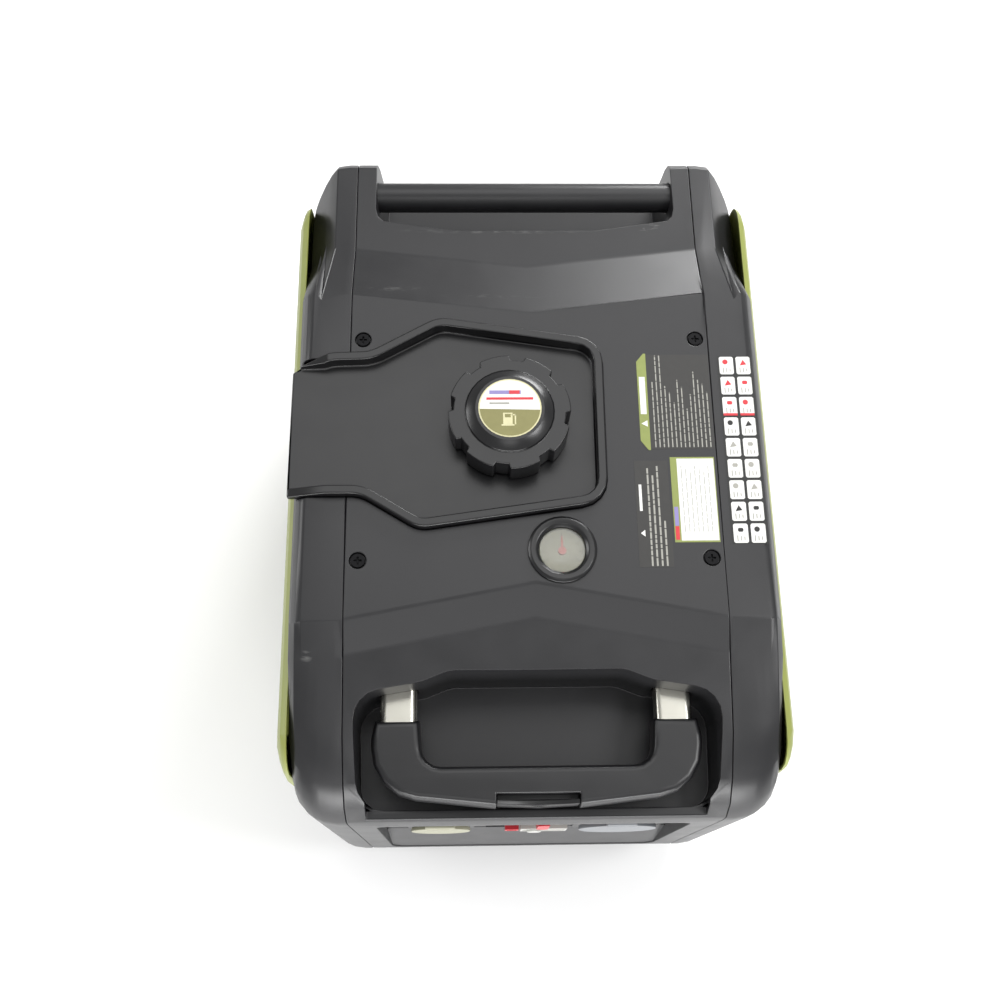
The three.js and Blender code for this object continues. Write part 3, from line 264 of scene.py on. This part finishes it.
# ---- Cover screws ----
# Black-zinc pan-head screws with a cross recess, one in each corner of the top cover.
SCREW_HEAD = 4 * MM
CROSS_SLOT = 1.5 * MM
CROSS_DEPTH = 2 * MM
material, place = blank("black_zinc_steel")
streak = add(material, "TexNoise", {"Vector": place, "Scale": 1 / (2 * MM), "Detail": 3.0}).outputs["Fac"]
gloss = add(material, "MapRange", {"Value": streak, "To Min": 0.4, "To Max": 0.55}).outputs["Result"]
colours = {"Fac": streak, "Color1": linear("#111112"), "Color2": linear("#1b1b1d")}
colour = add(material, "MixRGB", colours).outputs["Color"]
black_zinc = surface(material, Base_Color=colour, Roughness=gloss, Metallic=0.8)


def cross_screw(name, node):
    """A screw head with a cross recess, in the place of a CAD screw."""
    low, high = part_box(node)
    middle = (low + high) / 2
    radius = (high.x - low.x) / 2
    top = Vector((middle.x, middle.y, high.z))
    bpy.ops.mesh.primitive_cylinder_add(
        vertices=40, radius=radius, depth=SCREW_HEAD, location=top - Vector((0, 0, SCREW_HEAD / 2))
    )
    head = bpy.context.object
    cutters = []
    for width, depth in ((radius * 1.1, CROSS_SLOT), (CROSS_SLOT, radius * 1.1)):
        bpy.ops.mesh.primitive_cube_add(size=1, location=top)
        cutter = bpy.context.object
        cutter.scale = (width, depth, 2 * CROSS_DEPTH)
        cutters.append(cutter)
    for cutter in cutters:
        apply_modifier(head, "BOOLEAN", operation="DIFFERENCE", object=cutter, solver="EXACT")
    for cutter in cutters:
        bpy.data.objects.remove(cutter)
    head.name = name
    soften(head, 0.35 * MM)
    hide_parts(node)
    mount(head, "case", black_zinc)


for corner in range(1, 5):
    cross_screw(f"pan_head_screw_{corner}", f"cover_screw_{corner}")

# ---- Labels ----
# Printed polyester films, a quarter of a millimetre thick, stuck flat on the cover: a dark one with
# an olive band, a small dark one, a white rating plate and two columns of white picture tiles.
FILM = 0.25 * MM
cover_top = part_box("top_cover")[1].z


def printed(name, colour, roughness=0.4):
    """Ink on film: a flat colour that the print and a little dust break up."""
    material, place = blank(name)
    dust = add(material, "TexNoise", {"Vector": place, "Scale": 1 / (6 * MM), "Detail": 4.0}).outputs["Fac"]
    worn = [c * 0.82 for c in linear(colour)[:3]] + [1.0]
    colour = add(material, "MixRGB", {"Fac": dust, "Color1": linear(colour), "Color2": worn}).outputs["Color"]
    gloss = {"Value": dust, "To Min": roughness - 0.06, "To Max": roughness + 0.06}
    gloss = add(material, "MapRange", gloss).outputs["Result"]
    return surface(material, Base_Color=colour, Roughness=gloss)


dark_ink = printed("charcoal_print", "#2e2d2b")
olive_ink = printed("olive_print", "#8d9750")
white_ink = printed("white_print", "#eeeeea")
grey_ink = printed("light_grey_print", "#a5a49c")
red_ink = printed("red_print", "#d2323c")
lilac_ink = printed("lilac_print", "#8f86bd")
black_ink = printed("black_print", "#1a1a1a")
layer_gap = 0.02 * MM


def film(corners, layer, ink, ground=cover_top):
    """A flat printed shape with these corners in millimetres, on that layer of the label."""
    bpy.ops.mesh.primitive_circle_add(vertices=len(corners), radius=1, fill_type="NGON")
    shape = bpy.context.object
    height = ground + layer_gap + layer * FILM / 2
    for vertex, (x, y) in zip(shape.data.vertices, corners):
        vertex.co = (x * MM, y * MM, height)
    bpy.ops.object.mode_set(mode="EDIT")
    bpy.ops.mesh.select_all(action="SELECT")
    bpy.ops.mesh.extrude_region_move(TRANSFORM_OT_translate={"value": (0, 0, FILM / 2)})
    bpy.ops.mesh.select_all(action="SELECT")
    bpy.ops.mesh.normals_make_consistent(inside=False)
    bpy.ops.object.mode_set(mode="OBJECT")
    shape.data.materials.append(ink)
    return shape


def bar(x, y, width, length, layer, ink):
    """A plain rectangle, from its middle."""
    w, l = width / 2, length / 2
    return film([(x - w, y - l), (x + w, y - l), (x + w, y + l), (x - w, y + l)], layer, ink)


def tile(x, y, width, length, layer, ink, corner=1.2):
    """A rectangle with cut corners."""
    w, l, c = width / 2, length / 2, corner
    ring = [(-w + c, -l), (w - c, -l), (w, -l + c), (w, l - c)]
    ring += [(w - c, l), (-w + c, l), (-w, l - c), (-w, -l + c)]
    return film([(x + dx, y + dy) for dx, dy in ring], layer, ink)


def disc(x, y, radius, layer, ink, sides=14):
    """A round dot."""
    turns = [2 * math.pi * i / sides for i in range(sides)]
    return film([(x + radius * math.cos(a), y + radius * math.sin(a)) for a in turns], layer, ink)


def written_line(chance, x, start, end, width, layer, ink):
    """A row of short bars that runs along Y, as a printed line does from further off."""
    shapes, at = [], start
    while at < end:
        word = min(end - at, chance.uniform(3.0, 9.0))
        shapes.append(bar(x, at + word / 2, width, word, layer, ink))
        at += word + 0.9
    return shapes


def label(name, shapes, body="case"):
    """Joins a label's shapes into one piece, which rides on its body."""
    bpy.ops.object.select_all(action="DESELECT")
    for shape in shapes:
        shape.select_set(True)
    bpy.context.view_layer.objects.active = shapes[0]
    bpy.ops.object.join()
    piece = bpy.context.object
    piece.name = name
    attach(piece, body)


chance = random.Random(11)
shapes = [film([(99, -4), (159, -4), (159, 87), (99, 87), (94, 78), (94, 5)], 0, dark_ink)]
shapes.append(film([(103, -5), (103, 88), (101, 88), (94.5, 80), (94.5, 4), (101, -5)], 1, olive_ink))
shapes.append(bar(98.6, 47, 5.2, 36, 2, white_ink))
shapes.append(film([(96, 20), (101.4, 17), (101.4, 23)], 2, white_ink))
for row in range(14):
    reach = (60, 86, 86, 56, 50, 40, 62, 55, 34, 48, 70, 62, 58, 50)[row]
    shapes += written_line(chance, 107.5 + row * 3.7, -2.5, reach, 1.0, 2, grey_ink)
label("caution_label", shapes)

shapes = [bar(102, -63, 29, 96, 0, dark_ink)]
shapes.append(bar(91.5, -49, 2.4, 24, 1, white_ink))
shapes.append(film([(90, -81), (93.8, -78), (93.8, -84)], 1, white_ink))
for row, (start, end) in enumerate([(-110, -22), (-110, -28), (-110, -20), (-110, -70)]):
    shapes += written_line(chance, 98.5 + row * 4.2, start, end, 1.5, 1, grey_ink)
label("handling_label", shapes)

shapes = [bar(138, -50.5, 38.5, 77.5, 0, olive_ink), bar(140.5, -50.5, 32, 74.5, 1, white_ink)]
shapes.append(bar(121.4, -66, 3.4, 17, 1, lilac_ink))
shapes.append(bar(121.4, -81, 3.4, 12, 1, red_ink))
for row in range(7):
    shapes += written_line(chance, 128 + row * 3.9, -80, -20 - 3 * (row % 3), 0.5, 2, grey_ink)
label("rating_plate", shapes)

shapes = [bar(182.5, -3, 31, 176, 0, black_ink)]
for column, x in enumerate((175.2, 190.2)):
    for row in range(9):
        y = 76 - row * 19.7
        shapes.append(tile(x, y, 12.6, 17.2, 1, white_ink))
        ink = (red_ink, red_ink, red_ink, black_ink, grey_ink, grey_ink, grey_ink, black_ink, black_ink)[row]
        if (row + column) % 3 == 0:
            shapes.append(disc(x - 1, y + 3.5, 2.4, 2, ink))
        elif (row + column) % 3 == 1:
            shapes.append(film([(x - 3, y), (x + 3, y + 1), (x, y + 5.5)], 2, ink))
        else:
            shapes.append(tile(x, y + 3, 4.6, 3.4, 2, ink, corner=0.8))
        for line in range(3):
            shapes.append(bar(x - 3 + line * 3, y - 4.5, 0.8, 5 - line, 2, grey_ink))
        if row == 2:
            shapes.append(bar(x, y - 8.2, 12.4, 2.2, 2, red_ink))
label("picture_tiles", shapes)

# ---- Fuel gauge ----
# A float gauge let into the cover: a black chamfered bezel with a clear acrylic lens over a beige
# dial card, a red pointer geared to a foam float that rides on the fuel.
bezel_low, bezel_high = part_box("gauge_bezel")
gauge = (bezel_low + bezel_high) / 2
rounded("gauge_bezel", "gauge_surround", tray_abs, edge=0.6 * MM)
material, place = blank("clear_acrylic")
haze = add(material, "TexNoise", {"Vector": place, "Scale": 1 / (4 * MM), "Detail": 3.0}).outputs["Fac"]
gloss = add(material, "MapRange", {"Value": haze, "To Min": 0.08, "To Max": 0.2}).outputs["Result"]
clear = {"Base_Color": linear("#f4f4ec"), "Transmission_Weight": 0.9, "IOR": 1.49}
clear_acrylic = surface(material, Roughness=gloss, **clear)
rounded("gauge_lens", "gauge_window", clear_acrylic, edge=0.5 * MM, segments=3)

dial_beige = printed("beige_dial_print", "#8f8d7b", 0.3)
bpy.ops.mesh.primitive_cylinder_add(
    vertices=64, radius=19 * MM, depth=1.2 * MM, location=(gauge.x, gauge.y, cover_top - 6.2 * MM)
)
dial = bpy.context.object
dial.name = "gauge_dial"
soften(dial, 0.2 * MM)
mount(dial, "case", dial_beige)
for tick in range(9):
    angle = math.radians(210 - tick * 30)
    spot = (gauge.x + 15 * MM * math.cos(angle), gauge.y + 15 * MM * math.sin(angle), cover_top - 5.5 * MM)
    bpy.ops.mesh.primitive_cube_add(size=1, location=spot, rotation=(0, 0, angle))
    line = bpy.context.object
    line.name = f"gauge_tick_{tick + 1}"
    line.scale = ((4 if tick % 4 == 0 else 2.4) * MM, 0.7 * MM, 0.2 * MM)
    mount(line, "case", black_ink)
pointer_red = printed("red_pointer_paint", "#c8242c", 0.35)
rounded("gauge_pointer", "gauge_needle", pointer_red, edge=0.2 * MM)
foam = moulded_plastic("nitrile_foam", "#1a1a1a", "#242424", 0.8, grain=1.5 * MM, depth=0.2 * MM)
rounded("gauge_float", "float_block", foam, edge=1.5 * MM)

# ---- Fuel tank and filler ----
# A blow-moulded polyethylene tank with a threaded filler neck, a nylon strainer and, above the
# tray, a black screw cap with eight finger lobes and a round badge on its hub.
tank_hdpe = moulded_plastic("black_polyethylene", "#161616", "#202020", 0.5, grain=3 * MM, depth=0.1 * MM)
strainer_nylon = moulded_plastic(
    "white_nylon_mesh", "#cfcdc4", "#dddbd2", 0.5, grain=0.8 * MM, depth=0.2 * MM
)
rounded("fuel_tank", "tank_shell", tank_hdpe, edge=3 * MM, segments=3)
rounded("filler_neck", "filler_neck_tube", tank_hdpe, edge=0.6 * MM)
rounded("fuel_strainer", "strainer_basket", strainer_nylon, edge=0.4 * MM)
filler_cap = rounded("fuel_cap", "filler_cap", tray_abs, edge=1.0 * MM, segments=3)

BADGE = 27
cap_low, cap_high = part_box("fuel_cap")
cap = (cap_low + cap_high) / 2
badge_rim = printed("cream_badge_rim", "#d8d3a6", 0.3)
badge_olive = printed("olive_badge_print", "#87834f", 0.35)


hub_top = cap_high.z - 0.65 * MM  # the hub is planed down a little, so the badge ends flush
for vertex in filler_cap.data.vertices:
    vertex.co.z = min(vertex.co.z, hub_top)
centre_x, centre_y = cap.x / MM, cap.y / MM


def segment(radius, start, end, layer, ink, steps=40):
    """The part of a disc on the hub between two angles in degrees, closed by its chord."""
    turns = [math.radians(start + (end - start) * i / steps) for i in range(steps)]
    corners = [(centre_x + radius * math.cos(t), centre_y + radius * math.sin(t)) for t in turns]
    return film(corners, layer, ink, hub_top)


def mark(x, y, width, length, layer, ink):
    """A small rectangle on the badge, from its middle."""
    w, l = width / 2, length / 2
    corners = [(centre_x + x + dx, centre_y + y + dy) for dx, dy in ((-w, -l), (w, -l), (w, l), (-w, l))]
    return film(corners, layer, ink, hub_top)


shapes = [segment(BADGE, 0, 360, 0, badge_rim), segment(BADGE - 1.2, 0, 360, 1, white_ink)]
shapes.append(segment(BADGE - 1.2, 182, 360, 2, badge_olive))
shapes += [mark(-4, 14.5, 27, 3.4, 2, lilac_ink), mark(4, 14.5, 9, 3.4, 3, red_ink)]
shapes += [mark(0, 8.6, 40, 2.2, 2, red_ink), mark(-9, 4.2, 17, 1.6, 2, grey_ink)]
shapes += [mark(-2, -10, 8, 10.5, 3, badge_rim), mark(-2, -7.4, 5, 3, 4, badge_olive)]
shapes += [mark(-2, -16, 11, 1.4, 3, badge_rim), mark(4.4, -11, 1.2, 9, 3, badge_rim)]
shapes += [mark(3.2, -6.6, 3.4, 1.2, 3, badge_rim)]
label("filler_badge", shapes, "cap")

# ---- Handle ----
# Two chromed steel tubes that slide out of the well over steel guides, with a black
# soft-touch grip across it and a sprung release lever in a notch at the middle of the grip.
grip_rubber = moulded_plastic("black_soft_touch", "#121214", "#19191b", 0.36, grain=1.8 * MM, depth=0.02 * MM)
rounded("handle_grip", "trolley_grip", grip_rubber, edge=1.2 * MM, segments=3)
rounded("handle_release_button", "release_lever", black_abs, edge=0.8 * MM)
material, place = blank("chromed_steel")
lines = add(material, "TexNoise", {"Vector": place, "Scale": 1 / (14 * MM), "Detail": 2.0}).outputs["Fac"]
gloss = add(material, "MapRange", {"Value": lines, "To Min": 0.22, "To Max": 0.3}).outputs["Result"]
colours = {"Fac": lines, "Color1": linear("#c4c2b8"), "Color2": linear("#d2d0c6")}
colour = add(material, "MixRGB", colours).outputs["Color"]
chrome = surface(material, Base_Color=colour, Roughness=gloss, Metallic=1.0)
for side in ("left", "right"):
    rounded(f"{side}_handle_tube", f"{side}_trolley_tube", chrome, edge=0.5 * MM)

# ---- Machined and cast metal ----
# What the case hides: a die-cast engine and inverter housing, a ground steel shaft and axle,
# laminated steel round copper windings, and pressed steel exhaust parts.


def metal(name, dark, light, roughness, grain, depth, metallic=1.0):
    """A metal whose tone and gloss wander a little over its surface."""
    material, place = blank(name)
    cloud = add(material, "TexNoise", {"Vector": place, "Scale": 1 / grain, "Detail": 4.0}).outputs["Fac"]
    colours = {"Fac": cloud, "Color1": linear(dark), "Color2": linear(light)}
    colour = add(material, "MixRGB", colours).outputs["Color"]
    gloss = {"Value": cloud, "To Min": roughness - 0.08, "To Max": roughness + 0.08}
    gloss = add(material, "MapRange", gloss).outputs["Result"]
    relief = add(material, "Bump", {"Height": cloud, "Distance": depth}).outputs["Normal"]
    return surface(material, Base_Color=colour, Roughness=gloss, Metallic=metallic, Normal=relief)


cast_aluminium = metal("die_cast_aluminium", "#8d8d8c", "#a3a3a1", 0.5, 2 * MM, 0.05 * MM)
bright_steel = metal("zinc_plated_steel", "#a9aaa8", "#bcbdbb", 0.3, 4 * MM, 0.01 * MM)
burnt_steel = metal("heated_exhaust_steel", "#6b6259", "#8a8177", 0.45, 5 * MM, 0.03 * MM)
copper = metal("enamelled_copper_winding", "#9a4c22", "#b8683a", 0.35, 1.2 * MM, 0.2 * MM)


def dress(nodes, material):
    """Gives CAD nodes whose shape is right their finish."""
    for node in nodes:
        shown = frame["nodes"][node]
        shown.data.materials.clear()
        shown.data.materials.append(material)


dress(["crankcase", "cylinder", "carburettor", "inverter_module"], cast_aluminium)
dress(["crankshaft", "wheel_axle", "alternator_rotor", "left_guide_tube", "right_guide_tube"], bright_steel)
dress(["muffler"], burnt_steel)
dress(["alternator_stator"], copper)
dress(["cooling_fan", "recoil_housing", "air_cleaner", "fuel_cap_seal"], black_abs)
dress(["spark_plug"], white_ink)
rounded("exhaust_tip", "exhaust_outlet", burnt_steel, edge=0.8 * MM)

# ---- Wheels and feet ----
# Two solid rubber tyres on nylon hubs at the back, and two rubber feet at the front that the
# machine stands on.
tyre_rubber = moulded_plastic("black_tyre_rubber", "#191919", "#222222", 0.7, grain=0.8 * MM, depth=0.05 * MM)
for side in ("left", "right"):
    rounded(f"{side}_tyre", f"{side}_wheel_tyre", tyre_rubber, edge=0.8 * MM)
    rounded(f"{side}_hub", f"{side}_wheel_hub", black_abs, edge=0.8 * MM)
    rounded(f"{side}_foot", f"{side}_rubber_foot", tyre_rubber, edge=1.5 * MM)

# ---- Recoil starter grip ----
# A T-shaped black handle on the right side, on the rope of the recoil starter.
rounded("recoil_grip", "starter_handle", black_abs, edge=0.5 * MM)

# ---- Control panel ----
# A black plate in the front window with two power sockets under hinged covers, an engine switch
# knob, an economy rocker, a reset button, a meter and a warning lamp.
grey_abs = moulded_plastic("grey_cover_abs", "#6d7074", "#7b7e82", 0.4, grain=0.8 * MM, depth=0.02 * MM)
beige_abs = moulded_plastic(
    "olive_grey_cover_abs", "#8c8b76", "#9a9984", 0.45, grain=0.8 * MM, depth=0.02 * MM
)
red_abs = moulded_plastic("red_knob_abs", "#b31f2a", "#c22a34", 0.35, grain=1 * MM, depth=0.01 * MM)
rounded("control_panel", "panel_plate", black_abs, edge=0.6 * MM)
rounded("left_socket", "left_power_socket", black_abs, edge=0.5 * MM)
rounded("right_socket", "right_power_socket", black_abs, edge=0.5 * MM)
rounded("left_socket_cover", "left_socket_lid", beige_abs, edge=0.8 * MM)
rounded("right_socket_cover", "right_socket_lid", grey_abs, edge=0.8 * MM)
rounded("engine_switch_knob", "engine_knob", red_abs, edge=0.6 * MM)
rounded("eco_switch", "economy_rocker", black_abs, edge=0.4 * MM)
rounded("breaker_button", "reset_button", black_abs, edge=0.4 * MM)

# A white meter housing with a round bump for its sensor, and a red warning lamp beside it.
panel_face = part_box("control_panel")[0].y
ivory_abs = moulded_plastic("ivory_housing_abs", "#a9a9a4", "#b9b9b4", 0.35, grain=0.8 * MM, depth=0.01 * MM)


def panel_block(name, x, z, width, height, proud, material, edge):
    """A rounded block that stands on the face of the control panel."""
    bpy.ops.mesh.primitive_cube_add(size=1, location=(x * MM, panel_face - proud / 2, z * MM))
    block = bpy.context.object
    block.scale = (width * MM, proud, height * MM)
    bpy.ops.object.transform_apply(location=True, rotation=True, scale=True)
    block.name = name
    bpy.ops.object.mode_set(mode="EDIT")
    bpy.ops.mesh.select_all(action="DESELECT")
    bpy.ops.mesh.select_mode(type="FACE")
    mesh = bmesh.from_edit_mesh(block.data)
    mesh.normal_update()
    for face in mesh.faces:
        face.select_set(face.normal.y < -0.9)
    bmesh.update_edit_mesh(block.data)
    bpy.ops.mesh.inset(thickness=edge * 2, depth=0)
    bpy.ops.mesh.extrude_region_move(TRANSFORM_OT_translate={"value": (0, edge, 0)})
    bpy.ops.object.mode_set(mode="OBJECT")
    soften(block, edge / 2)
    return block


meter = panel_block("meter_housing", 13, 276, 44, 26, 9 * MM, ivory_abs, 1.2 * MM)
bpy.ops.mesh.primitive_cylinder_add(
    vertices=36, radius=7 * MM, depth=10 * MM, rotation=(math.radians(90), 0, 0),
    location=(4 * MM, panel_face - 6 * MM, 276 * MM),
)
bump = bpy.context.object
soften(bump, 1.6 * MM, segments=3)
select_only(meter)
bump.select_set(True)
bpy.ops.object.join()
mount(meter, "case", ivory_abs)
mount(panel_block("warning_lamp", -17, 278, 13, 13, 9 * MM, red_abs, 1.0 * MM), "case", red_abs)

# ---- Floor, lights and camera ----
# A plain pale floor, one broad soft light overhead, one low at the front, one behind on the right,
# one on each side, one over the front, and a camera that looks down on the machine from over its front edge.
material, place = blank("pale_floor")
tone = add(material, "TexNoise", {"Vector": place, "Scale": 0.8, "Detail": 1.0}).outputs["Fac"]
colours = {"Fac": tone, "Color1": linear("#f7f7f7"), "Color2": linear("#fbfbfb")}
colour = add(material, "MixRGB", colours).outputs["Color"]
pale_floor = surface(material, Base_Color=colour, Roughness=0.9)
bpy.ops.mesh.primitive_plane_add(size=14, location=(0, 0, -0.5 * MM))
floor = bpy.context.object
floor.name = "floor"
floor.data.materials.append(pale_floor)

world = bpy.data.worlds.new("pale_room")
bpy.context.scene.world = world
world.use_nodes = True
world.node_tree.nodes["Background"].inputs["Color"].default_value = linear("#ffffff")
world.node_tree.nodes["Background"].inputs["Strength"].default_value = 0.5


def soft_light(name, place, target, width, height, power):
    """A rectangular light at a place, turned to face a target."""
    data = bpy.data.lights.new(name, "AREA")
    data.shape, data.size, data.size_y, data.energy = "RECTANGLE", width, height, power
    light = bpy.data.objects.new(name, data)
    bpy.context.collection.objects.link(light)
    light.location = place
    light.rotation_euler = (Vector(target) - Vector(place)).to_track_quat("-Z", "Y").to_euler()


soft_light("overhead_light", (0.1, 1.1, 3.0), (0, 0, 0.4), 2.2, 1.7, 22)
soft_light("front_light", (0, -2.3, 0.6), (0, 0, 0.35), 2.4, 0.8, 56)
soft_light("rear_light", (0.75, 1.6, 1.1), (0.1, 0.2, 0.45), 0.9, 0.5, 26)
soft_light("left_light", (-2.2, 0.5, 1.0), (0, 0, 0.4), 1.2, 0.6, 14)
soft_light("right_light", (1.5, -0.3, 2.4), (0, 0, 0.4), 0.8, 0.8, 26)
soft_light("fill_light", (0, -1.5, 3.0), (0, 0, 0.4), 1.0, 1.0, 8)

camera_data = bpy.data.cameras.new("camera")
camera_data.lens = 43.2
camera = bpy.data.objects.new("camera", camera_data)
bpy.context.collection.objects.link(camera)
camera.location = (-0.0569, -0.3966, 1.4482)
camera.rotation_euler = [math.radians(turn) for turn in (19.796, -1.346, -0.875)]
bpy.context.scene.camera = camera
bpy.context.scene.view_settings.view_transform = "Standard"
